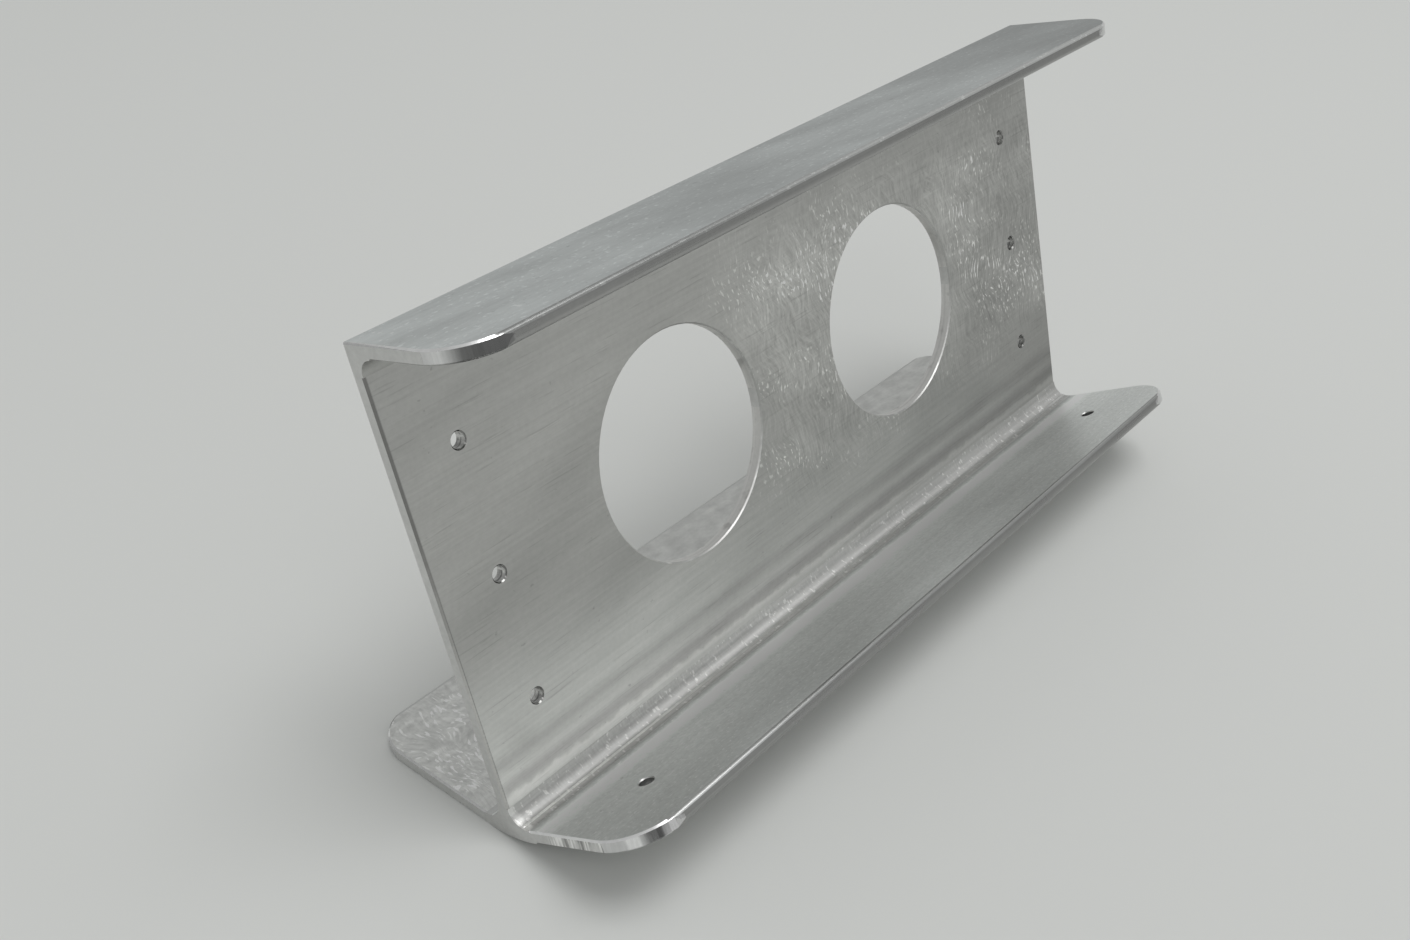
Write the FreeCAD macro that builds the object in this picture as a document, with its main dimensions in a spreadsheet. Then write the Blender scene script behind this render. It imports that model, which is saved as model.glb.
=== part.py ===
# Two-hole instrument panel bracket, one piece of machined aluminium of even wall.
# A web stands on the bend of a shallow V base: the front flange rises forward from the bend
# and the foot lies flat behind it.  A second flange runs forward along the web's top edge.
# The part stands on its foot, so the web leans back by the foot's own angle.
#
# Frame: +X along the part, +Z up, -Y to the front.  The origin is the middle of the foot's
# flat underside.  The body is drawn with the web upright and the origin on the virtual corner,
# where the undersides of the front flange and the foot would meet; its Placement then tilts
# it onto the foot and slides it forward.
import FreeCAD, Part
import Sketcher
import math
import os

doc = FreeCAD.newDocument("panel_bracket")

# ---------------------------------------------------------------- driving sizes, mm and degrees
sizes = [
    ("panel_length", 226.0),       # overall, along X
    ("wall", 3.0),                 # web, flanges and foot
    ("web_rise", 109.5),           # from the virtual corner to the top face, along the web
    ("top_reach", 29.2),           # top flange in front of the web's front face
    ("front_reach", 41.5),         # front flange from the virtual corner, along its underside
    ("foot_reach", 44.7),          # foot from the virtual corner, along its underside
    ("front_angle", 13.0),         # front flange from square with the web
    ("foot_angle", 17.0),          # foot from square with the web
    ("knee_radius", 30.0),         # under the web, front flange to foot
    ("front_fillet", 4.0),         # web to front flange
    ("foot_fillet", 4.0),          # web to foot
    ("top_fillet", 3.5),           # web to top flange
    ("edge_round", 1.0),           # long outer edges of the flanges and the foot
    ("back_round", 0.5),           # long edge between the web's back and the top face
    ("top_corner", 12.0),          # rounded outline corners
    ("front_corner", 13.0),
    ("foot_corner", 10.0),
    ("edge_bevel", 0.4),           # end edges and outline corners
    ("dial_hole", 52.0),           # the two large holes, diameter
    ("dial_spacing", 81.0),
    ("dial_rise", 57.5),           # hole centres above the virtual corner, along the web
    ("dial_bevel", 0.3),
    ("screw_hole", 3.4),           # the eight small holes, diameter
    ("screw_bevel", 0.25),
    ("web_hole_spacing", 195.2),   # between the columns of three at the web's ends
    ("web_hole_rise", 55.7),       # middle hole of a column
    ("web_hole_step", 28.6),       # between the holes of a column
    ("flange_hole_spacing", 187.2),
    ("flange_hole_shift", 1.2),    # the pair sits off the middle, towards +X
    ("flange_hole_reach", 23.2),   # from the virtual corner, along the front flange
    ("overcut", 3.0),              # how far the cutting outlines run past the metal
]
sheet = doc.addObject("Spreadsheet::Sheet", "Sizes")
for row, (alias, value) in enumerate(sizes, start=1):
    sheet.set("A%d" % row, alias)
    sheet.set("B%d" % row, str(value))
    sheet.setAlias("B%d" % row, alias)
doc.recompute()


def size(alias):
    return float(sheet.get(alias))


def value_of(expression):
    return float(sheet.evalExpression(expression))


body = doc.addObject("PartDesign::Body", "Body")
body.Label = "panel_bracket"


def origin_plane(role):
    return [item for item in body.Origin.OriginFeatures if item.Role == role][0]


def new_sketch(name, role, turn=None, base_y=None, base_z=None):
    """A sketch on one of the body's planes, turned about X and shifted by expressions."""
    sketch = body.newObject("Sketcher::SketchObject", name)
    sketch.AttachmentSupport = [(origin_plane(role), "")]
    sketch.MapMode = "FlatFace"
    sketch.AttachmentOffset = FreeCAD.Placement(
        FreeCAD.Vector(0, 0, 0), FreeCAD.Rotation(FreeCAD.Vector(1, 0, 0), 0.001))
    if turn:
        sketch.setExpression("AttachmentOffset.Rotation.Angle", turn)
    else:
        sketch.AttachmentOffset = FreeCAD.Placement()
    if base_y:
        sketch.setExpression("AttachmentOffset.Base.y", base_y)
    if base_z:
        sketch.setExpression("AttachmentOffset.Base.z", base_z)
    return sketch


def add_line(sketch, start, end):
    return sketch.addGeometry(
        Part.LineSegment(FreeCAD.Vector(*start, 0), FreeCAD.Vector(*end, 0)), False)


def drive(sketch, constraint, name, expression):
    """Adds a dimension and binds it to the sheet."""
    index = sketch.addConstraint(constraint)
    sketch.renameConstraint(index, name)
    sketch.setExpression("Constraints." + name, expression)


def join(sketch, pairs):
    for first, first_end, second, second_end in pairs:
        sketch.addConstraint(
            Sketcher.Constraint("Coincident", first, first_end, second, second_end))


# ---------------------------------------------------------------- section, drawn once
wall = size("wall")
front_angle = math.radians(size("front_angle"))
foot_angle = math.radians(size("foot_angle"))
web_rise = size("web_rise")
front_out = (-math.cos(front_angle), math.sin(front_angle))    # along the front flange
front_up = (math.sin(front_angle), math.cos(front_angle))
foot_out = (math.cos(foot_angle), math.sin(foot_angle))        # along the foot
foot_up = (-math.sin(foot_angle), math.cos(foot_angle))


def point_on(direction, along, normal, up):
    return (direction[0] * along + normal[0] * up, direction[1] * along + normal[1] * up)


front_root = (-wall / 2, wall / math.cos(front_angle) + wall / 2 * math.tan(front_angle))
foot_root = (wall / 2, wall / math.cos(foot_angle) + wall / 2 * math.tan(foot_angle))
top_front = -wall / 2 - size("top_reach")
section_points = [
    (0.0, 0.0),
    point_on(front_out, size("front_reach"), front_up, 0.0),
    point_on(front_out, size("front_reach"), front_up, wall),
    front_root,
    (-wall / 2, web_rise - wall),
    (top_front, web_rise - wall),
    (top_front, web_rise),
    (wall / 2, web_rise),
    foot_root,
    point_on(foot_out, size("foot_reach"), foot_up, wall),
    point_on(foot_out, size("foot_reach"), foot_up, 0.0),
]
section = new_sketch("Section", "YZ_Plane")
point_count = len(section_points)
for index, start in enumerate(section_points):
    add_line(section, start, section_points[(index + 1) % point_count])
(FRONT_UNDER, FRONT_TIP, FRONT_TOP, WEB_FRONT, TOP_UNDER, TOP_TIP, TOP_FACE,
 WEB_BACK, FOOT_TOP, FOOT_TIP, FOOT_UNDER) = range(point_count)
join(section, [(index, 2, (index + 1) % point_count, 1) for index in range(point_count)])
section.addConstraint(Sketcher.Constraint("Coincident", FRONT_UNDER, 1, -1, 1))
for index in (WEB_FRONT, TOP_TIP, WEB_BACK):
    section.addConstraint(Sketcher.Constraint("Vertical", index))
for index in (TOP_UNDER, TOP_FACE):
    section.addConstraint(Sketcher.Constraint("Horizontal", index))
section.addConstraint(Sketcher.Constraint("Parallel", FRONT_UNDER, FRONT_TOP))
section.addConstraint(Sketcher.Constraint("Perpendicular", FRONT_UNDER, FRONT_TIP))
section.addConstraint(Sketcher.Constraint("Parallel", FOOT_UNDER, FOOT_TOP))
section.addConstraint(Sketcher.Constraint("Perpendicular", FOOT_UNDER, FOOT_TIP))
drive(section, Sketcher.Constraint("Angle", FRONT_UNDER, math.pi - front_angle),
      "front_slope", "180 - Sizes.front_angle")
drive(section, Sketcher.Constraint("Angle", FOOT_UNDER, foot_angle - math.pi),
      "foot_slope", "Sizes.foot_angle - 180")
drive(section, Sketcher.Constraint("Distance", FRONT_UNDER, size("front_reach")),
      "front_reach", "Sizes.front_reach")
drive(section, Sketcher.Constraint("Distance", FOOT_UNDER, size("foot_reach")),
      "foot_reach", "Sizes.foot_reach")
for name, index in (("front_wall", FRONT_TIP), ("foot_wall", FOOT_TIP), ("top_wall", TOP_TIP)):
    drive(section, Sketcher.Constraint("Distance", index, wall), name, "Sizes.wall")
drive(section, Sketcher.Constraint("DistanceX", WEB_FRONT, 2, -1, 1, wall / 2),
      "web_front_half", "Sizes.wall / 2")
drive(section, Sketcher.Constraint("DistanceX", -1, 1, WEB_BACK, 1, wall / 2),
      "web_back_half", "Sizes.wall / 2")
drive(section, Sketcher.Constraint("DistanceY", -1, 1, WEB_BACK, 1, web_rise),
      "web_rise", "Sizes.web_rise")
drive(section, Sketcher.Constraint("Distance", TOP_UNDER, size("top_reach")),
      "top_reach", "Sizes.top_reach")
doc.recompute()

bar = body.newObject("PartDesign::Pad", "Bar")
bar.Profile = section
bar.SideType = "Symmetric"
bar.setExpression("Length", "Sizes.panel_length")
section.Visibility = False
doc.recompute()


# ---------------------------------------------------------------- helpers for edges and cuts
def long_edges(shape, starts):
    """Names of the edges that run along X through the numbered section points."""
    names = []
    for number, edge in enumerate(shape.Edges, start=1):
        ends = [vertex.Point for vertex in edge.Vertexes]
        if len(ends) != 2 or abs(ends[0].y - ends[1].y) + abs(ends[0].z - ends[1].z) > 1e-4:
            continue
        for start in starts:
            y, z = section_points[start]
            if abs(ends[0].y - y) + abs(ends[0].z - z) < 1e-3:
                names.append("Edge%d" % number)
    return names


def round_edges(name, base, starts, radius):
    names = long_edges(base.Shape, starts)
    if len(names) != len(starts):
        raise RuntimeError("%s found %d edges of %d" % (name, len(names), len(starts)))
    fillet = body.newObject("PartDesign::Fillet", name)
    fillet.Base = (base, names)
    fillet.setExpression("Radius", radius)
    doc.recompute()
    return fillet


def cut(name, sketch, length, reverse=False, taper=None, symmetric=False):
    """A pocket that has to take some metal away."""
    before = body.Shape.Volume
    pocket = body.newObject("PartDesign::Pocket", name)
    pocket.Profile = sketch
    pocket.SideType = "Symmetric" if symmetric else "One side"
    pocket.Type = "Length"
    pocket.setExpression("Length", length)
    pocket.Reversed = reverse
    if taper:
        pocket.TaperAngle = taper
    sketch.Visibility = False
    doc.recompute()
    removed = before - pocket.Shape.Volume
    print("%s removes %.1f mm3" % (name, removed))
    if removed <= 0:
        raise RuntimeError(name + " cuts nothing")
    return pocket


# ---------------------------------------------------------------- fillets along the section
# A section line's number is also the number of the section point that it starts from.
round_edges("FrontFillet", bar, [WEB_FRONT], "Sizes.front_fillet")
round_edges("FootFillet", body.Tip, [FOOT_TOP], "Sizes.foot_fillet")
round_edges("TopFillet", body.Tip, [TOP_UNDER], "Sizes.top_fillet")
round_edges("Knee", body.Tip, [FRONT_UNDER], "Sizes.knee_radius")
round_edges("EdgeRound", body.Tip,
            [FRONT_TIP, FRONT_TOP, TOP_TIP, TOP_FACE, FOOT_TIP, FOOT_UNDER], "Sizes.edge_round")
round_edges("BackRound", body.Tip, [WEB_BACK], "Sizes.back_round")

# ---------------------------------------------------------------- outline corners, +X end
# Each flange is cut in its own plane.  The sketch's x runs along the part and its y along
# the flange, so the flange's edge is at y = side * reach.
flanges = [
    {"name": "Top", "turn": None, "side": -1, "corner": "Sizes.top_corner",
     "reach": "(Sizes.top_reach + Sizes.wall / 2)",
     "face_root": "(-Sizes.wall / 2 - Sizes.overcut)",
     "under_root": "(Sizes.top_fillet + Sizes.wall / 2)",
     "face_y": None, "face_z": "Sizes.web_rise",
     "under_y": None, "under_z": "Sizes.web_rise - Sizes.wall"},
    {"name": "Front", "turn": "-Sizes.front_angle", "side": -1, "corner": "Sizes.front_corner",
     "reach": "Sizes.front_reach",
     "face_root": "(Sizes.wall / 2 / cos(Sizes.front_angle) + Sizes.wall * tan(Sizes.front_angle)"
             " + Sizes.front_fillet / tan((90 - Sizes.front_angle) / 2))",
     "under_root": "(Sizes.knee_radius * tan((Sizes.front_angle + Sizes.foot_angle) / 2))",
     "face_y": "Sizes.wall * sin(Sizes.front_angle)",
     "face_z": "Sizes.wall * cos(Sizes.front_angle)",
     "under_y": None, "under_z": None},
    {"name": "Foot", "turn": "Sizes.foot_angle", "side": 1, "corner": "Sizes.foot_corner",
     "reach": "Sizes.foot_reach",
     "face_root": "(Sizes.wall / 2 / cos(Sizes.foot_angle) + Sizes.wall * tan(Sizes.foot_angle)"
             " + Sizes.foot_fillet / tan((90 - Sizes.foot_angle) / 2))",
     "under_root": "(Sizes.knee_radius * tan((Sizes.front_angle + Sizes.foot_angle) / 2))",
     "face_y": "-Sizes.wall * sin(Sizes.foot_angle)",
     "face_z": "Sizes.wall * cos(Sizes.foot_angle)",
     "under_y": None, "under_z": None},
]


def end_outline(flange, name, plane, inset="0", root=None):
    """Closed outline over the flange's +X corner, ready to be cut away.

    Its inner side follows the rounded corner, held back from the flange's outline by inset.
    With root it also follows the end edge in from that distance, and a little of the long edge.
    """
    side = flange["side"]
    sketch = new_sketch(name, "XY_Plane", flange["turn"], plane[0], plane[1])
    half = size("panel_length") / 2
    margin = size("overcut")
    reach = value_of(flange["reach"])
    corner = value_of(flange["corner"])
    back = value_of(inset)
    centre = (half - corner, side * (reach - corner))
    radius = corner - back
    circle = Part.Circle(FreeCAD.Vector(*centre, 0), FreeCAD.Vector(0, 0, 1), radius)
    low_angle = 0 if side > 0 else -math.pi / 2
    arc = sketch.addGeometry(Part.ArcOfCircle(circle, low_angle, low_angle + math.pi / 2), False)
    at_end, at_edge = (1, 2) if side > 0 else (2, 1)    # arc point on the end edge, on the long edge
    outer_x = half + margin
    outer_y = side * (reach + margin)
    if root:
        start_y = side * value_of(root)
        loop = [(half - back, centre[1]), (half - back, start_y), (outer_x, start_y),
                (outer_x, outer_y), (centre[0] - margin, outer_y),
                (centre[0] - margin, side * (reach - back)), (centre[0], side * (reach - back))]
    else:
        loop = [(half - back, centre[1]), (outer_x, centre[1]), (outer_x, outer_y),
                (centre[0], outer_y), (centre[0], side * (reach - back))]
    lines = [add_line(sketch, loop[index], loop[index + 1]) for index in range(len(loop) - 1)]
    join(sketch, [(first, 2, second, 1) for first, second in zip(lines, lines[1:])])
    join(sketch, [(arc, at_end, lines[0], 1), (arc, at_edge, lines[-1], 2)])
    for line in lines:
        ends = sketch.Geometry[line]
        level = abs(ends.StartPoint.y - ends.EndPoint.y) < 1e-9
        sketch.addConstraint(Sketcher.Constraint("Horizontal" if level else "Vertical", line))
    sketch.addConstraint(Sketcher.Constraint("Horizontal", arc, 3, arc, at_end))
    sketch.addConstraint(Sketcher.Constraint("Vertical", arc, 3, arc, at_edge))
    drive(sketch, Sketcher.Constraint("Radius", arc, radius), "radius",
          "%s - %s" % (flange["corner"], inset))
    drive(sketch, Sketcher.Constraint("DistanceX", -1, 1, arc, 3, centre[0]), "centre_x",
          "Sizes.panel_length / 2 - " + flange["corner"])
    outward = (-1, 1, arc, 3) if side > 0 else (arc, 3, -1, 1)
    drive(sketch, Sketcher.Constraint("DistanceY", *outward, abs(centre[1])), "centre_y",
          "%s - %s" % (flange["reach"], flange["corner"]))
    far = lines[2] if root else lines[1]
    drive(sketch, Sketcher.Constraint("DistanceX", -1, 1, far, 1, outer_x), "outer_x",
          "Sizes.panel_length / 2 + Sizes.overcut")
    outward = (-1, 1, far, 2) if side > 0 else (far, 2, -1, 1)
    drive(sketch, Sketcher.Constraint("DistanceY", *outward, abs(outer_y)), "outer_y",
          flange["reach"] + " + Sizes.overcut")
    if root:
        drive(sketch, Sketcher.Constraint("Distance", lines[-1], margin), "tail", "Sizes.overcut")
        inward = (-1, 1, lines[1], 1) if start_y > 0 else (lines[1], 1, -1, 1)
        drive(sketch, Sketcher.Constraint("DistanceY", *inward, abs(start_y)), "root",
              root if side * start_y > 0 else "-1 * " + root)
    doc.recompute()
    return sketch


end_cuts = []
for flange in flanges:
    label = flange["name"]
    face = (flange["face_y"], flange["face_z"])
    under = (flange["under_y"], flange["under_z"])
    corner_outline = end_outline(flange, label + "CornerOutline", face)
    end_cuts.append(cut(label + "Corner", corner_outline, "Sizes.wall * 2"))
    face_outline = end_outline(
        flange, label + "FaceOutline", face, "Sizes.edge_bevel", flange["face_root"])
    end_cuts.append(cut(label + "FaceBevel", face_outline, "Sizes.edge_bevel", taper=-45))
    under_outline = end_outline(
        flange, label + "UnderOutline", under, "Sizes.edge_bevel", flange["under_root"])
    end_cuts.append(cut(label + "UnderBevel", under_outline, "Sizes.edge_bevel",
                        reverse=True, taper=-45))


# ---------------------------------------------------------------- web's end bevels, +X end
def web_end_outline(name, side, start):
    """Outline outside a 45 degree bevel on one of the web's upright end edges."""
    sketch = new_sketch(name, "XY_Plane", base_z=start)
    half = size("panel_length") / 2
    bevel = size("edge_bevel")
    margin = size("overcut")
    loop = [(half - bevel, side * wall / 2), (half, side * (wall / 2 - bevel)),
            (half + margin, side * (wall / 2 - bevel)), (half + margin, side * (wall / 2 + margin)),
            (half - bevel, side * (wall / 2 + margin))]
    lines = [add_line(sketch, loop[index], loop[(index + 1) % 5]) for index in range(5)]
    join(sketch, [(index, 2, (index + 1) % 5, 1) for index in range(5)])
    for index in (1, 3):
        sketch.addConstraint(Sketcher.Constraint("Horizontal", lines[index]))
    for index in (2, 4):
        sketch.addConstraint(Sketcher.Constraint("Vertical", lines[index]))
    rows = [("bevel_x", 0, "Sizes.panel_length / 2 - Sizes.edge_bevel", half - bevel),
            ("end_x", 1, "Sizes.panel_length / 2", half),
            ("outer_x", 2, "Sizes.panel_length / 2 + Sizes.overcut", half + margin)]
    for title, line, expression, value in rows:
        drive(sketch, Sketcher.Constraint("DistanceX", -1, 1, lines[line], 1, value),
              title, expression)
    rows = [("face_y", 0, "Sizes.wall / 2", wall / 2),
            ("bevel_y", 1, "Sizes.wall / 2 - Sizes.edge_bevel", wall / 2 - bevel),
            ("outer_y", 3, "Sizes.wall / 2 + Sizes.overcut", wall / 2 + margin)]
    for title, line, expression, value in rows:
        outward = (-1, 1, lines[line], 1) if side > 0 else (lines[line], 1, -1, 1)
        drive(sketch, Sketcher.Constraint("DistanceY", *outward, value), title, expression)
    doc.recompute()
    return sketch


front_start = ("Sizes.wall / cos(Sizes.front_angle) + Sizes.wall / 2 * tan(Sizes.front_angle)"
               " + Sizes.front_fillet / tan((90 - Sizes.front_angle) / 2)")
back_start = ("Sizes.wall / cos(Sizes.foot_angle) + Sizes.wall / 2 * tan(Sizes.foot_angle)"
              " + Sizes.foot_fillet / tan((90 - Sizes.foot_angle) / 2)")
front_bevel = web_end_outline("WebFrontOutline", -1, front_start)
end_cuts.append(cut("WebFrontBevel", front_bevel,
                    "Sizes.web_rise - Sizes.wall - Sizes.top_fillet - (%s)" % front_start,
                    reverse=True))
back_bevel = web_end_outline("WebBackOutline", 1, back_start)
end_cuts.append(cut("WebBackBevel", back_bevel,
                    "Sizes.web_rise + Sizes.overcut - (%s)" % back_start, reverse=True))

# ---------------------------------------------------------------- the same at the -X end
other_end = body.newObject("PartDesign::Mirrored", "OtherEnd")
other_end.Originals = end_cuts
other_end.MirrorPlane = (origin_plane("YZ_Plane"), [""])
body.Tip = other_end
doc.recompute()


# ---------------------------------------------------------------- holes
def add_circle(sketch, name, x, y, diameter, x_expression, y_expression, diameter_expression):
    circle = sketch.addGeometry(
        Part.Circle(FreeCAD.Vector(x, y, 0), FreeCAD.Vector(0, 0, 1), diameter / 2), False)
    across = (-1, 1, circle, 3) if x > 0 else (circle, 3, -1, 1)
    upward = (-1, 1, circle, 3) if y > 0 else (circle, 3, -1, 1)
    drive(sketch, Sketcher.Constraint("DistanceX", *across, abs(x)), name + "_x", x_expression)
    drive(sketch, Sketcher.Constraint("DistanceY", *upward, abs(y)), name + "_y", y_expression)
    drive(sketch, Sketcher.Constraint("Diameter", circle, diameter), name + "_d",
          diameter_expression)


dials = new_sketch("DialHoleCentres", "XZ_Plane")
for name, sign in (("left", -1), ("right", 1)):
    add_circle(dials, name, sign * size("dial_spacing") / 2, size("dial_rise"), size("dial_hole"),
               "Sizes.dial_spacing / 2", "Sizes.dial_rise", "Sizes.dial_hole")
screws = new_sketch("WebHoleCentres", "XZ_Plane")
for column, sign in (("left", -1), ("right", 1)):
    for row, step in (("low", -1), ("middle", 0), ("high", 1)):
        add_circle(screws, "%s_%s" % (column, row), sign * size("web_hole_spacing") / 2,
                   size("web_hole_rise") + step * size("web_hole_step"), size("screw_hole"),
                   "Sizes.web_hole_spacing / 2",
                   "Sizes.web_hole_rise + Sizes.web_hole_step * %d" % step, "Sizes.screw_hole")
flange_screws = new_sketch("FlangeHoleCentres", "XY_Plane", "-Sizes.front_angle",
                           "Sizes.wall * sin(Sizes.front_angle)",
                           "Sizes.wall * cos(Sizes.front_angle)")
for name, sign in (("left", -1), ("right", 1)):
    add_circle(flange_screws, name,
               sign * size("flange_hole_spacing") / 2 + size("flange_hole_shift"),
               -size("flange_hole_reach"), size("screw_hole"),
               "Sizes.flange_hole_spacing / 2 + Sizes.flange_hole_shift * %d" % sign,
               "Sizes.flange_hole_reach", "Sizes.screw_hole")
doc.recompute()
cut("DialHoles", dials, "Sizes.wall * 2", symmetric=True)
cut("WebHoles", screws, "Sizes.wall * 2", symmetric=True)
cut("FlangeHoles", flange_screws, "Sizes.wall * 2")


def bevel_rims(name, diameter, width, expected):
    """Breaks both rims of every hole of one diameter."""
    base = body.Tip
    names = []
    for number, edge in enumerate(base.Shape.Edges, start=1):
        if isinstance(edge.Curve, Part.Circle) and abs(edge.Curve.Radius - diameter / 2) < 1e-5 \
                and edge.isClosed():
            names.append("Edge%d" % number)
    if len(names) != expected:
        raise RuntimeError("%s found %d rims of %d" % (name, len(names), expected))
    chamfer = body.newObject("PartDesign::Chamfer", name)
    chamfer.Base = (base, names)
    chamfer.setExpression("Size", width)
    doc.recompute()


bevel_rims("DialRims", size("dial_hole"), "Sizes.dial_bevel", 4)
bevel_rims("ScrewRims", size("screw_hole"), "Sizes.screw_bevel", 16)

# ---------------------------------------------------------------- stand it on its foot
# The foot's flat underside runs from the end of the knee's radius to its own edge radius.
foot_middle = ("(Sizes.knee_radius * tan((Sizes.front_angle + Sizes.foot_angle) / 2)"
               " + Sizes.foot_reach - Sizes.edge_round) / 2")
body.Placement = FreeCAD.Placement(
    FreeCAD.Vector(0, 0, 0), FreeCAD.Rotation(FreeCAD.Vector(1, 0, 0), -size("foot_angle")))
body.setExpression("Placement.Rotation.Angle", "-Sizes.foot_angle")
body.setExpression("Placement.Base.y", "-1 * " + foot_middle)
doc.recompute()

# ---------------------------------------------------------------- check and write
for item in doc.Objects:
    if "Invalid" in item.State or "Error" in item.State:
        raise RuntimeError("%s failed: %s" % (item.Name, item.State))
for item in doc.Objects:
    if item.TypeId == "Sketcher::SketchObject" and item.solve() != 0:
        raise RuntimeError(item.Name + " does not solve")
shape = body.Shape
if shape.isNull() or not shape.isValid() or len(shape.Solids) != 1:
    raise RuntimeError("the body is not one valid solid")
bracket = shape.Solids[0]
os.makedirs("parts", exist_ok=True)
bracket.exportStep("parts/%s.step" % body.Label)
box = bracket.optimalBoundingBox()
centre = bracket.CenterOfMass
print("%s: volume %.0f mm3, X %.1f..%.1f, Y %.2f..%.2f, Z %.3f..%.2f" % (
    body.Label, bracket.Volume, box.XMin, box.XMax, box.YMin, box.YMax, box.ZMin, box.ZMax))
print("centre of mass %.2f %.2f %.2f" % (centre.x, centre.y, centre.z))
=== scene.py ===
import bpy
import math
from mathutils import Matrix, Vector


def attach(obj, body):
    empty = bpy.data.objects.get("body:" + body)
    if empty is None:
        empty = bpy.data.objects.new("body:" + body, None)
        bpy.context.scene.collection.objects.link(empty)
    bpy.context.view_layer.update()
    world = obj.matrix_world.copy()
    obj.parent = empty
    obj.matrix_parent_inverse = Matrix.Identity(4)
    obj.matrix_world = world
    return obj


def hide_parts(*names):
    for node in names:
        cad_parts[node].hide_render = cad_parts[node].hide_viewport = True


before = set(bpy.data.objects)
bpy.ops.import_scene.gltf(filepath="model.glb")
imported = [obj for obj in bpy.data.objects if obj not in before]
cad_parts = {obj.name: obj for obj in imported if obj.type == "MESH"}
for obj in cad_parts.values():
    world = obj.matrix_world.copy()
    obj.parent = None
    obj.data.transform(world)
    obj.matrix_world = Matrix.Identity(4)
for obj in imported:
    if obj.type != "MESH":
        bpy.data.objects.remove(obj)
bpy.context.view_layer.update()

print("frame loaded")

# places on the bracket with its web stood upright: x along it, y back through the web, z up the web
bracketPlaces = {
    "lean": math.radians(17),          # web from upright
    "footShift": 0.02587,              # from the foot's middle to the bend under the web
    "frontSlope": math.radians(13),
    "footSlope": math.radians(17),
    "wall": 0.003,
    "skin": 0.00001,                   # how near to a surface counts as on it
    "holeSpacing": 0.081,
    "holeHeight": 0.0575,
    "holeRadius": 0.026,
    "holeMargin": 0.002,               # further out than this from a large hole is a screw hole
    "webHoles": (0.012, 0.104),        # the height on the web that has holes
    "frontHoles": (-0.034, -0.012),    # the strip of the front flange that has holes
    "frontFillet": (-0.0062, 0.011),   # its front edge and its top
    "topFillet": (-0.0058, 0.1),       # its front edge and its bottom
    "filletBack": -0.001,
    "topFlange": 0.09,                 # all above this is the top flange
    "topFlats": 0.1064,                # and all above this its two flat sides
    "cornerBack": -0.01,
    "frontRims": -0.027,
    "cornerStart": 0.099,              # from the middle to the rounded outline corners
    "bevelStart": 0.1125,              # from the middle to the bevelled ends
}
# how squarely a face has to look one way, as a share of dead square
faceSquareness = {"flat": 0.9995, "end": 0.995, "forward": 0.3, "upward": 0.35, "slanted": 0.2,
                  "level": 0.02}
lean = bracketPlaces["lean"]
upright = Matrix.Rotation(lean, 4, "X") @ Matrix.Translation((0, bracketPlaces["footShift"], 0))
frontUp = Vector((0, math.sin(bracketPlaces["frontSlope"]), math.cos(bracketPlaces["frontSlope"])))
footUp = Vector((0, -math.sin(bracketPlaces["footSlope"]), math.cos(bracketPlaces["footSlope"])))


# the finish of a face, from where it is and which way it looks
def faceFinish(centre, normal):
    at, square = bracketPlaces, faceSquareness
    place, facing = upright @ centre, upright.to_3x3() @ normal
    fromMiddle, halfWall = abs(place.x), at["wall"] / 2
    overFront, overFoot = facing.dot(frontUp), facing.dot(footUp)
    runsAlong = abs(facing.x) < square["level"]
    onTop = place.z > at["topFlange"]
    if abs(facing.x) > square["end"]:
        return "sawnEnd"
    # flat sides
    if abs(facing.y) > square["flat"] and abs(abs(place.y) - halfWall) < at["skin"]:
        return "brushedWeb" if facing.y < 0 else "plainBack"
    if abs(facing.z) > square["flat"] and place.z > at["topFlats"]:
        return "mottledTop" if facing.z > 0 else "plainBack"
    if overFront > square["flat"]:
        return "satinFlange"
    if overFoot > square["flat"]:
        return "swirledFoot"
    if min(overFront, overFoot) < -square["flat"]:
        return "plainBack"
    # holes
    webLow, webHigh = at["webHoles"]
    inWall = abs(place.y) < halfWall - at["skin"] and fromMiddle < at["bevelStart"]
    if inWall and webLow < place.z < webHigh:
        acrossHole = math.hypot(fromMiddle - at["holeSpacing"] / 2, place.z - at["holeHeight"])
        if acrossHole > at["holeRadius"] + at["holeMargin"]:
            return "drilledWall"
        return "boredWall" if abs(facing.y) < square["slanted"] else "boredRim"
    stripFront, stripBack = at["frontHoles"]
    if (abs(overFront) < square["level"] and stripFront < place.y < stripBack
            and fromMiddle < at["cornerStart"]):
        return "drilledFloor"
    # fillets
    filletFront, filletTop = at["frontFillet"]
    if runsAlong and filletFront < place.y < at["filletBack"] and place.z < filletTop:
        return "milledFillet"
    filletFront, filletBottom = at["topFillet"]
    if runsAlong and filletFront < place.y < at["filletBack"] and place.z > filletBottom:
        return "undercutFillet"
    # outline corners, then the long front rims
    if not runsAlong and fromMiddle > at["cornerStart"]:
        if abs(place.y) < halfWall and facing.y < -square["forward"] and place.z > webLow:
            return "paintedDarkEndBevel"
        # the upward bevels of the front corners take a painted highlight
        if place.y < at["cornerBack"] and (facing.z if onTop else overFront) > square["upward"]:
            return "paintedHighlightBevel"
        return "flutedTip" if onTop else "flutedCorner"
    # the long front rims: their upper rounds, and the rest painted dark as a dark reflection
    if runsAlong and place.y < at["frontRims"]:
        if onTop:
            return "brightRound" if facing.z > square["upward"] else "paintedDarkEdge"
        return "fadingPaintedHighlightRound" if overFront > square["upward"] else "paintedDarkEdge"
    return "plainBack"


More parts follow.
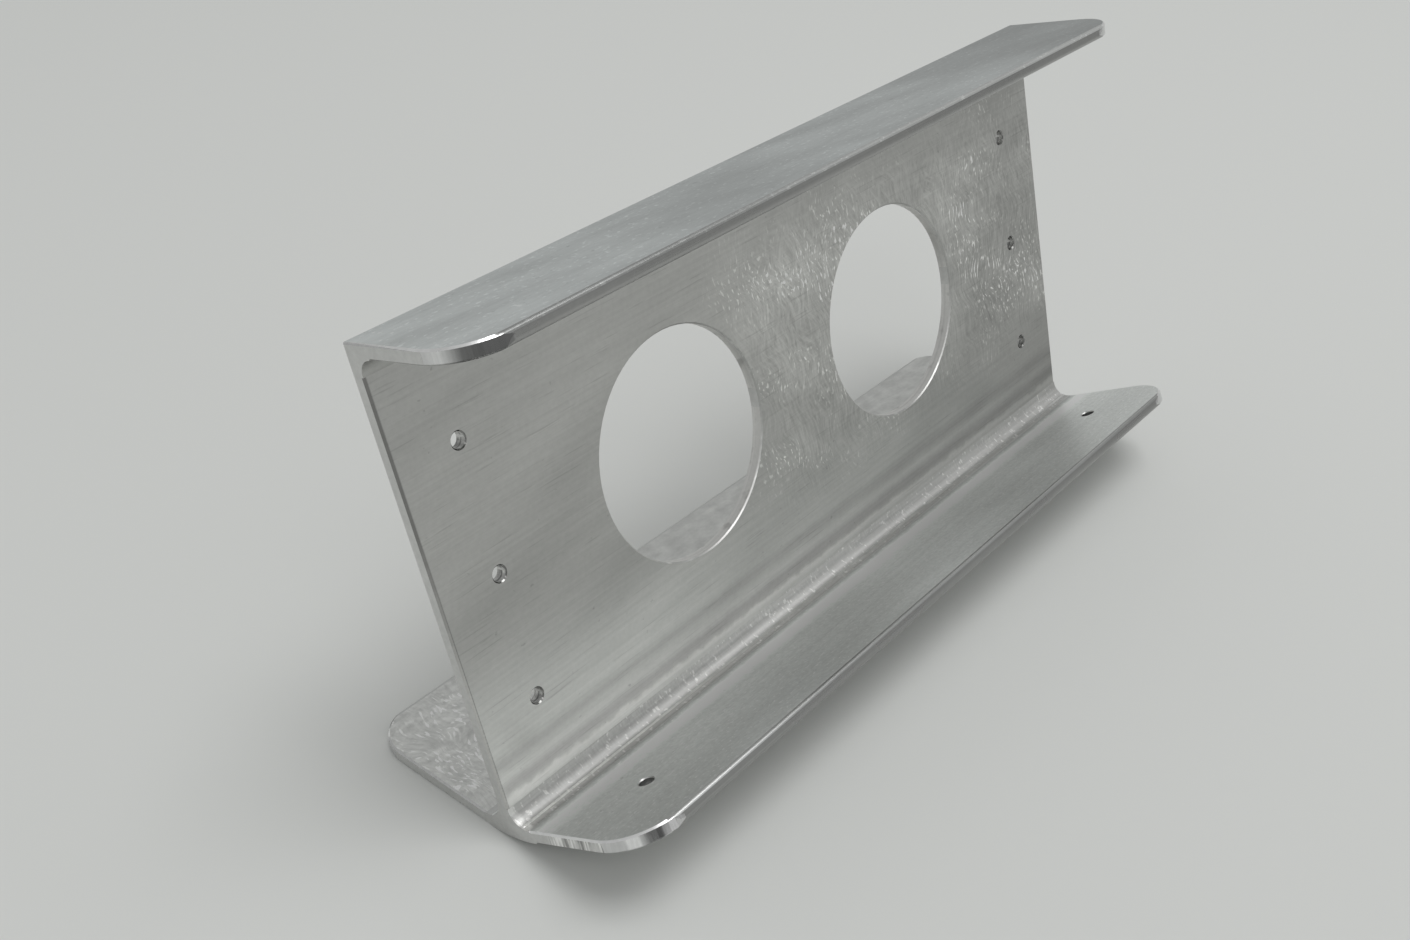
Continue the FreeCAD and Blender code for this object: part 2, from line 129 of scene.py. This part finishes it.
copySettings = {
    "mergeWithin": 0.000001,
    "smoothBelow": math.radians(28),   # sharper bends than this stay sharp
}
bpy.ops.object.select_all(action="DESELECT")
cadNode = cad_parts["panel_bracket"]
cadNode.select_set(True)
bpy.context.view_layer.objects.active = cadNode
bpy.ops.object.duplicate()
bracket = bpy.context.object
bracket.name = "bracketFinished"
bpy.ops.object.mode_set(mode="EDIT")
bpy.ops.mesh.select_all(action="SELECT")
bpy.ops.mesh.customdata_custom_splitnormals_clear()
bpy.ops.mesh.remove_doubles(threshold=copySettings["mergeWithin"])
bpy.ops.object.mode_set(mode="OBJECT")
bpy.ops.object.shade_smooth_by_angle(angle=copySettings["smoothBelow"])
weights = bracket.modifiers.new("flatFacesFirst", "WEIGHTED_NORMAL")
weights.keep_sharp = True
bpy.ops.object.modifier_apply(modifier=weights.name)
print("bracket copied:", len(bracket.data.polygons), "faces")

# what every metal finish shares; a swing is where a noise turns from its darkest to its lightest
metalLook = {
    "swing": (0.3, 0.7),
    "cloudSwing": (0.32, 0.68),
    "ribSwing": (0.38, 0.62),
    "driftSwing": (0.34, 0.66),
    "grainScale": (900, 1100, 1100),
    "rippleScale": (260, 260, 260),    # ragged edges of the bands
    "waverScale": 70.0,                # wavering of the sanding arcs
    "waverDetail": 1.0,
    "lineNoise": (4, 0.6),             # each noise's detail and roughness
    "cloudNoise": (3, 0.5),
    "grainNoise": (2, 0.6),
    "rippleNoise": (3, 0.6),
    "ribNoise": (1.5, 0.5),
    "arcNoise": (2, 0.6),
    "glintNoise": (1, 0.55),
    "patchNoise": (2, 0.55),           # patches and drifts
    "speckNoise": (2, 0.5),
    "strokeMiddle": 0.4,
    "cloudRoughness": 0.03,            # roughness either way with the clouds
    "glintRoughness": 0.1,             # roughness that a glint takes away
    "brightest": (0.96, 0.96, 0.96),
}


def addNode(tree, kind, inputs=None, **settings):
    node = tree.nodes.new(kind)
    for name, value in settings.items():
        setattr(node, name, value)
    for name, value in (inputs or {}).items():
        if isinstance(value, bpy.types.NodeSocket):
            tree.links.new(value, node.inputs[name])
        else:
            node.inputs[name].default_value = value
    return node


# object coordinates with the bracket turned back about X, measured from the bend under the web
def onFace(tree, turn):
    place = addNode(tree, "ShaderNodeTexCoord").outputs["Object"]
    shift = Matrix.Rotation(turn, 3, "X") @ Vector((0, bracketPlaces["footShift"], 0))
    return addNode(tree, "ShaderNodeMapping",
                   {"Vector": place, "Rotation": (turn, 0, 0), "Location": shift}).outputs[0]


def stretched(tree, vector, scale, spin=(0, 0, 0)):
    spun = addNode(tree, "ShaderNodeMapping", {"Vector": vector, "Rotation": spin}).outputs[0]
    return addNode(tree, "ShaderNodeMapping", {"Vector": spun, "Scale": scale}).outputs[0]


def noise(tree, vector, detail, rough):
    return addNode(tree, "ShaderNodeTexNoise", {"Vector": vector, "Scale": 1.0, "Detail": detail,
                                                "Roughness": rough}).outputs["Fac"]


def levels(tree, value, low, high, start=0.0, end=1.0):
    return addNode(tree, "ShaderNodeMapRange", {"Value": value, "From Min": low, "From Max": high,
                                                "To Min": start, "To Max": end}).outputs[0]


def combine(tree, operation, first, second=0.0):
    return addNode(tree, "ShaderNodeMath", {0: first, 1: second}, operation=operation).outputs[0]


def times(tree, product, *factors):
    for factor in factors:
        product = combine(tree, "MULTIPLY", product, factor)
    return product


def vectorMath(tree, operation, inputs):
    return addNode(tree, "ShaderNodeVectorMath", inputs, operation=operation)


def axisOf(tree, vector, number):
    return addNode(tree, "ShaderNodeSeparateXYZ", {0: vector}).outputs[number]


# the two shade factors that a strength stands for
def spread(value):
    return 1 - value, 1 + value


# an amount kept to a region; each limit is an axis, where the amount is nothing and where it is full
def within(tree, face, amount, region):
    for axis, nothing, full in region:
        amount = times(tree, amount, levels(tree, axisOf(tree, face, axis), nothing, full))
    return amount


# long soft bands, each an axis, middle, half width, soft edge, raggedness and change of shade
def addBands(tree, face, shade, bands):
    ripple = stretched(tree, face, metalLook["rippleScale"])
    ripple = noise(tree, ripple, *metalLook["rippleNoise"])
    for axis, middle, half, soft, ragged, change in bands:
        shift = levels(tree, ripple, *metalLook["swing"], -ragged, ragged)
        place = combine(tree, "ADD", axisOf(tree, face, axis), shift)
        away = combine(tree, "ABSOLUTE", combine(tree, "SUBTRACT", place, middle))
        shade = times(tree, shade, levels(tree, away, half, half + soft, 1 + change, 1.0))
    return shade


# ribs left by the cutter, in patches
def addRibs(tree, face, shade, height, ribs):
    patch = noise(tree, stretched(tree, face, ribs["patchScale"]), *metalLook["patchNoise"])
    patch = within(tree, face, levels(tree, patch, *ribs["patch"]), ribs.get("region", []))
    ridges = noise(tree, stretched(tree, face, ribs["scale"]), *metalLook["ribNoise"])
    ridges = times(tree, levels(tree, ridges, *metalLook["ribSwing"], -1.0, 1.0), patch)
    shade = times(tree, shade, levels(tree, ridges, -1, 1, *spread(ribs["strength"])))
    return shade, combine(tree, "ADD", height, times(tree, ridges, ribs["depth"]))


# short broken arcs round a middle point, as a hand sander leaves
def arcs(tree, face, middle, sanded):
    offset = vectorMath(tree, "SUBTRACT", {0: face, 1: middle}).outputs[0]
    reach = vectorMath(tree, "LENGTH", {0: offset}).outputs["Value"]
    slow = vectorMath(tree, "SCALE", {0: face, "Scale": 1 / sanded["length"]}).outputs[0]
    vector = addNode(tree, "ShaderNodeCombineXYZ", {
        0: times(tree, reach, 1 / sanded["pitch"]),
        1: axisOf(tree, slow, 0),
        2: combine(tree, "ADD", axisOf(tree, slow, 1), axisOf(tree, slow, 2))}).outputs[0]
    return levels(tree, noise(tree, vector, *metalLook["arcNoise"]), *sanded["strokeRange"])


# sanding arcs over lighter and darker drifts, with small painted glints in patches
def addSanding(tree, face, shade, height, dull, sanded):
    waver = addNode(tree, "ShaderNodeTexNoise", {"Vector": face, "Scale": metalLook["waverScale"],
                                                 "Detail": metalLook["waverDetail"]}).outputs["Color"]
    waver = vectorMath(tree, "SCALE", {0: waver, "Scale": sanded["waver"]}).outputs[0]
    face = vectorMath(tree, "ADD", {0: face, 1: waver}).outputs[0]
    where = within(tree, face, 1.0, sanded["region"])
    strokes, *others = [arcs(tree, face, middle, sanded) for middle in sanded["middles"]]
    for other in others:
        strokes = combine(tree, "MAXIMUM", strokes, other)
    strokeMiddle = metalLook["strokeMiddle"]
    strokes = times(tree, combine(tree, "SUBTRACT", strokes, strokeMiddle), where)
    patch = stretched(tree, face, sanded["patchScale"], sanded["patchSpin"])
    patch = noise(tree, patch, *metalLook["patchNoise"])
    # the glints are painted highlights: they lighten the colour, and they also lower the roughness
    paintedGlints = noise(tree, stretched(tree, face, sanded["glintScale"]), *metalLook["glintNoise"])
    paintedGlints = times(tree, levels(tree, paintedGlints, *sanded["glintRange"]),
                   levels(tree, patch, *sanded["patchRange"]), where)
    drifts = stretched(tree, face, sanded["driftScale"], sanded["patchSpin"])
    drifts = noise(tree, drifts, *metalLook["patchNoise"])
    drifts = times(tree, levels(tree, drifts, *metalLook["driftSwing"], -1.0, 1.0), where)
    darkest = 1 - sanded["strokes"] * strokeMiddle
    lightest = 1 + sanded["strokes"] * (1 - strokeMiddle)
    shade = times(tree, shade,
                  levels(tree, strokes, -strokeMiddle, 1 - strokeMiddle, darkest, lightest),
                  levels(tree, paintedGlints, 0, 1, 1.0, 1 + sanded["paintedGlints"]),
                  levels(tree, drifts, -1, 1, *spread(sanded["drifts"])))
    height = combine(tree, "ADD", height, times(tree, strokes, sanded["depth"]))
    dull = combine(tree, "SUBTRACT", dull, times(tree, paintedGlints, metalLook["glintRoughness"]))
    return shade, height, dull


def makeFinish(name, look):
    material = bpy.data.materials.new(name)
    material.use_nodes = True
    tree = material.node_tree
    shader = tree.nodes["Principled BSDF"]
    shader.inputs["Metallic"].default_value = 1.0
    face = onFace(tree, look["turn"])
    swing = metalLook["swing"]
    # lines along the part, soft clouds and a fine grain
    lines = noise(tree, stretched(tree, face, look["lineScale"]), *metalLook["lineNoise"])
    clouds = stretched(tree, face, look["cloudScale"], look["cloudSpin"])
    clouds = noise(tree, clouds, *metalLook["cloudNoise"])
    grain = noise(tree, stretched(tree, face, metalLook["grainScale"]), *metalLook["grainNoise"])
    shade = times(tree, levels(tree, lines, *swing, *spread(look["lines"])),
                  levels(tree, clouds, *metalLook["cloudSwing"], *spread(look["clouds"])),
                  levels(tree, grain, *swing, *spread(look["grain"])))
    height = combine(tree, "ADD", times(tree, lines, look["lineDepth"]),
                     times(tree, grain, look["grainDepth"]))
    dull = levels(tree, clouds, *swing, look["roughness"] - metalLook["cloudRoughness"],
                  look["roughness"] + metalLook["cloudRoughness"])
    if "bands" in look:
        shade = addBands(tree, face, shade, look["bands"])
    if "ribs" in look:
        shade, height = addRibs(tree, face, shade, height, look["ribs"])
    if "sanded" in look:
        shade, height, dull = addSanding(tree, face, shade, height, dull, look["sanded"])
    # small marks, each a scale, the noise where they start and are full, and a shade factor: below
    # one real dark pits and scratches, above one painted sparkles of light
    for scale, low, high, change in look.get("marksAndPaintedSparkles", []):
        marksAndPaintedSparkles = noise(tree, stretched(tree, face, scale), *metalLook["speckNoise"])
        shade = times(tree, shade, levels(tree, marksAndPaintedSparkles, low, high, 1.0, change))
    tone = vectorMath(tree, "SCALE", {0: look["tone"], "Scale": shade}).outputs[0]
    tone = vectorMath(tree, "MINIMUM", {0: tone, 1: metalLook["brightest"]}).outputs[0]
    bump = addNode(tree, "ShaderNodeBump", {"Height": height, "Strength": 1.0,
                                            "Distance": look["bumpDepth"]}).outputs["Normal"]
    tree.links.new(tone, shader.inputs["Base Color"])
    tree.links.new(dull, shader.inputs["Roughness"])
    tree.links.new(bump, shader.inputs["Normal"])
    return material


plain = {
    "turn": lean, "tone": (0.60, 0.605, 0.595), "roughness": 0.34,
    "lines": 0.05, "lineScale": (9, 900, 900), "lineDepth": 0.4,
    "clouds": 0.05, "cloudScale": (18, 45, 45), "cloudSpin": (0, 0.2, 0.2),
    "grain": 0.03, "grainDepth": 0.2, "bumpDepth": 0.00005,
}
fluted = {
    **plain, "tone": (0.66, 0.66, 0.66), "roughness": 0.12,
    "lines": 0.01, "lineDepth": 0.0, "clouds": 0.02, "grainDepth": 0.03,
    "ribs": {"scale": (1500, 1500, 1), "patchScale": (60, 60, 1), "patch": (0.30, 0.60),
             "strength": 0.06, "depth": 0.25},
}
frontTurn = lean + bracketPlaces["frontSlope"]
# all finishes are the one metal; the tones that differ between them are partly painted light and
# shade
finishes = {
    # drawn lines, a sanded patch from the first large hole onwards, painted light and dark reflection
    # bands above the bend, painted shade towards the bottom and the far end, and a painted dark line
    # at the near end
    "brushedWeb": {
        **plain, "tone": (0.54, 0.54, 0.525), "lines": 0.06, "lineScale": (9, 1, 1300),
        "clouds": 0.11, "cloudScale": (13, 1, 48), "cloudSpin": (0, 0.3, 0),
        "bands": [(2, 0.0183, 0.0005, 0.0022, 0.0002, -0.17),
                  (2, 0.0126, 0.0006, 0.0018, 0.0002, -0.22),
                  (2, 0.0086, 0.0018, 0.0008, 0.0006, 0.26),
                  (2, 0.0, 0.030, 0.050, 0.0, -0.22),
                  (0, 0.113, 0.018, 0.070, 0.0, -0.15),
                  (0, -0.1130, 0.0004, 0.0003, 0.0, -0.55)],
        "marksAndPaintedSparkles": [((500, 1, 700), 0.70, 0.76, 0.8), ((60, 1, 2200), 0.62, 0.70, 0.85)],
        "sanded": {"middles": [(-0.110, 0, 0.010), (0.250, 0, 0.060)], "waver": 0.010,
                   "pitch": 0.0007, "length": 0.0050, "strokeRange": (0.35, 0.65), "strokes": 0.35,
                   "region": [(0, -0.022, 0.004), (2, 0.028, 0.046), (2, 0.104, 0.088)],
                   "glintScale": (1450, 1, 540), "glintRange": (0.59, 0.67), "paintedGlints": 1.4,
                   "patchScale": (22, 1, 60), "patchSpin": (0, -0.5, 0), "patchRange": (0.46, 0.62),
                   "driftScale": (34, 1, 55), "drifts": 0.13, "depth": 0.5},
    },
    # cloudy, slightly blue, with faint slanting marks; painted light at the near end, painted shade
    # at the far end, and painted sparkles
    "mottledTop": {
        **plain, "tone": (0.61, 0.635, 0.635), "lines": 0.05, "lineScale": (60, 700, 1),
        "clouds": 0.14, "cloudScale": (22, 75, 1), "cloudSpin": (0, 0, 0.35),
        "bands": [(0, -0.113, 0.025, 0.060, 0.0, 0.20), (0, 0.113, 0.020, 0.050, 0.0, -0.27)],
        "marksAndPaintedSparkles": [((500, 700, 1), 0.68, 0.76, 0.82), ((700, 900, 1), 0.60, 0.70, 1.25)],
    },
    # painted dark and light reflection bands beside the bend, painted light in the middle of the
    # length, and painted sparkles
    "satinFlange": {
        **plain, "turn": frontTurn, "tone": (0.80, 0.82, 0.805), "roughness": 0.46,
        "lineScale": (9, 600, 1), "grain": 0.06,
        "bands": [(1, -0.0064, 0.0015, 0.0022, 0.0003, -0.36),
                  (1, -0.0116, 0.0012, 0.0030, 0.0004, 0.20),
                  (0, 0.0, 0.025, 0.060, 0.0, 0.08)],
        "marksAndPaintedSparkles": [((700, 700, 1), 0.70, 0.76, 0.85), ((900, 1400, 1), 0.60, 0.70, 1.25)],
    },
    # sanding arcs at the near end, with painted glints in them
    "swirledFoot": {
        **plain, "turn": 0.0, "tone": (0.68, 0.685, 0.67), "lineScale": (60, 600, 1),
        "clouds": 0.10, "cloudScale": (200, 300, 1),
        "sanded": {"middles": [(-0.190, 0.030, 0), (0.160, 0.120, 0)], "waver": 0.012,
                   "pitch": 0.0012, "length": 0.0025, "strokeRange": (0.35, 0.65), "strokes": 0.24,
                   "region": [(0, -0.070, -0.088)],
                   "glintScale": (1100, 380, 1), "glintRange": (0.58, 0.66), "paintedGlints": 0.9,
                   "patchScale": (90, 140, 1), "patchSpin": (0, 0, 0.4), "patchRange": (0.42, 0.58),
                   "driftScale": (150, 220, 1), "drifts": 0.05, "depth": 0.6},
    },
    # a painted glint at the fillet's near end, painted shade over its near half, and painted sparkles
    "milledFillet": {
        **plain, "tone": (0.51, 0.51, 0.50), "roughness": 0.50, "lines": 0.14,
        "lineScale": (12, 800, 800),
        "bands": [(0, -0.1124, 0.0005, 0.0008, 0.0008, 0.45), (0, -0.113, 0.030, 0.060, 0.0, -0.17)],
        "ribs": {"scale": (1900, 500, 500), "patchScale": (60, 300, 300), "patch": (0.40, 0.60),
                 "strength": 0.06, "depth": 0.2},
        "marksAndPaintedSparkles": [((1100, 650, 650), 0.60, 0.68, 1.45)],
    },
    # smooth fluted corners with a few painted light and dark reflection stripes across them
    "flutedCorner": {
        **fluted,
        "bands": [(0, -0.1101, 0.0007, 0.0004, 0.0001, 0.35),
                  (0, -0.1068, 0.0011, 0.0011, 0.0001, -0.62),
                  (0, -0.1058, 0.0004, 0.0002, 0.0001, -0.35),
                  (0, -0.1030, 0.0007, 0.0002, 0.0001, 0.45)],
    },
    # the top flange's fluted corners, with a painted dark reflection over most of the corner and a
    # faint painted highlight at its end
    "flutedTip": {
        **fluted,
        "bands": [(0, -0.1122, 0.0004, 0.0003, 0.0001, 0.15),
                  (0, -0.1057, 0.0041, 0.0018, 0.0001, -0.66)],
    },
    # upward bevels of the front corners, painted near white as a highlight
    "paintedHighlightBevel": {**plain, "tone": (0.93, 0.93, 0.93), "roughness": 0.30, "lines": 0.02,
                    "clouds": 0.08, "cloudScale": (300, 300, 300)},
    # the bevel of the web's end, painted dark towards the top as a dark reflection
    "paintedDarkEndBevel": {**plain, "tone": (0.58, 0.575, 0.56),
                    "bands": [(2, 0.105, 0.035, 0.035, 0.002, -0.55)]},
    # the fillet under the top flange, painted darker as shade
    "undercutFillet": {**plain, "tone": (0.47, 0.47, 0.455), "roughness": 0.45,
                       "lineScale": (60, 500, 500)},
    # the upper round of the top flange's rim, painted darker over its near half, with painted
    # sparkles
    "brightRound": {**plain, "tone": (0.68, 0.69, 0.68), "lines": 0.08, "lineScale": (6, 1500, 1500),
                    "bands": [(0, -0.113, 0.055, 0.090, 0.0, -0.38)],
                    "marksAndPaintedSparkles": [((700, 900, 900), 0.60, 0.68, 1.3)]},
    # the upper round of the front flange's rim, painted dark, with a painted highlight near the near
    # corner that fades along it
    "fadingPaintedHighlightRound": {**plain, "tone": (0.42, 0.425, 0.42), "lines": 0.08, "lineScale": (6, 1500, 1500),
                    "bands": [(0, -0.100, 0.006, 0.045, 0.0, 0.70)]},
    # the fronts of the long rims, painted dark as a dark reflection
    "paintedDarkEdge": {**plain, "tone": (0.36, 0.36, 0.355), "roughness": 0.28, "lines": 0.10,
                     "lineScale": (6, 1500, 1500)},
    # screw holes in the web: walls painted darker as shade in the holes, a darker mouth and a dark
    # line half way
    "drilledWall": {
        **plain, "tone": (0.46, 0.46, 0.45), "roughness": 0.20, "lines": 0.0,
        "clouds": 0.42, "cloudScale": (800, 800, 800),
        "bands": [(1, -0.0014, 0.00012, 0.0001, 0.00003, -0.45),
                  (1, -0.0001, 0.00018, 0.0001, 0.0001, -0.5)],
    },
    # screw holes in the front flange, walls painted darker as shade in the holes
    "drilledFloor": {**plain, "turn": frontTurn, "tone": (0.34, 0.34, 0.34), "roughness": 0.30},
    "boredWall": {**plain, "tone": (0.71, 0.705, 0.69), "roughness": 0.48, "lines": 0.10,
                  "lineScale": (9, 1300, 9), "marksAndPaintedSparkles": [((260, 260, 260), 0.56, 0.70, 0.75)]},
    # the rims of the large holes, painted darker, with a painted highlight low down and painted
    # sparkles
    "boredRim": {**plain, "tone": (0.47, 0.47, 0.46), "roughness": 0.40,
                 "bands": [(2, 0.043, 0.006, 0.008, 0.002, 0.40)],
                 "marksAndPaintedSparkles": [((150, 150, 150), 0.60, 0.66, 1.3)]},
    # end faces, painted lighter across the foot
    "sawnEnd": {
        **plain, "tone": (0.62, 0.62, 0.61), "roughness": 0.36, "lineScale": (1, 500, 500),
        "bands": [(1, 0.030, 0.020, 0.005, 0.0, 0.12)],
        "ribs": {"scale": (1, 1300, 60), "patchScale": (1, 200, 200), "patch": (0.30, 0.45),
                 "region": [(2, 0.024, 0.020), (1, -0.032, -0.030), (1, -0.012, -0.014)],
                 "strength": 0.50, "depth": 1.0},
    },
    "plainBack": plain,
}
bracket.data.materials.clear()
for name, look in finishes.items():
    bracket.data.materials.append(makeFinish(name, look))
print("finishes made:", len(finishes))

finishOrder = list(finishes)
for face in bracket.data.polygons:
    face.material_index = finishOrder.index(faceFinish(face.center, face.normal))
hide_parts("panel_bracket")
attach(bracket, "root")
print("bracket finished")

# floor, light and camera
stageLook = {
    "floorSize": 30,
    "floorTone": (0.70, 0.71, 0.695),
    "floorRoughness": 0.9,
    "skyTone": (0.44, 0.445, 0.44),
    "panels": [
        {"place": (0.37, -0.52, 2.4), "size": (1.3, 1.3), "power": 21.0},
        {"place": (0.75, -0.15, 1.3), "size": (1.4, 0.10), "power": 0.8},
        {"place": (-0.62, -0.81, 1.18), "size": (0.5, 0.3), "power": 1.0},
    ],
    "cameraPlace": (-0.250756, -0.183586, 0.234107),
    "cameraTurn": (49.9668, -1.3840, -50.5162),    # degrees
    "sensorWidth": 36,
    "lens": 37.858,
    "shiftUp": 0.107,
    "nearLimit": 0.01,
}
bpy.ops.object.select_all(action="DESELECT")
bpy.ops.mesh.primitive_plane_add(size=stageLook["floorSize"], location=(0, 0, 0))
floor = bpy.context.object
floor.name = "floor"
floorMaterial = bpy.data.materials.new("paleFloor")
floorMaterial.use_nodes = True
floorShader = floorMaterial.node_tree.nodes["Principled BSDF"]
floorShader.inputs["Base Color"].default_value = (*stageLook["floorTone"], 1)
floorShader.inputs["Roughness"].default_value = stageLook["floorRoughness"]
floor.data.materials.append(floorMaterial)

world = bpy.data.worlds.new("softRoom")
bpy.context.scene.world = world
world.use_nodes = True
world.node_tree.nodes["Background"].inputs["Color"].default_value = (*stageLook["skyTone"], 1)

# light panels, all turned to the middle of the floor
for panel in stageLook["panels"]:
    bpy.ops.object.light_add(type="AREA", location=panel["place"])
    light = bpy.context.object
    light.data.shape = "RECTANGLE"
    light.data.size, light.data.size_y = panel["size"]
    light.data.energy = panel["power"]
    light.rotation_euler = (-light.location).to_track_quat("-Z", "Y").to_euler()

bpy.ops.object.camera_add(location=stageLook["cameraPlace"])
camera = bpy.context.object
camera.rotation_euler = [math.radians(angle) for angle in stageLook["cameraTurn"]]
camera.data.sensor_width = stageLook["sensorWidth"]
camera.data.lens = stageLook["lens"]
camera.data.shift_y = stageLook["shiftUp"]
camera.data.clip_start = stageLook["nearLimit"]
bpy.context.scene.camera = camera
bpy.context.scene.view_settings.view_transform = "Standard"
print("stage set")
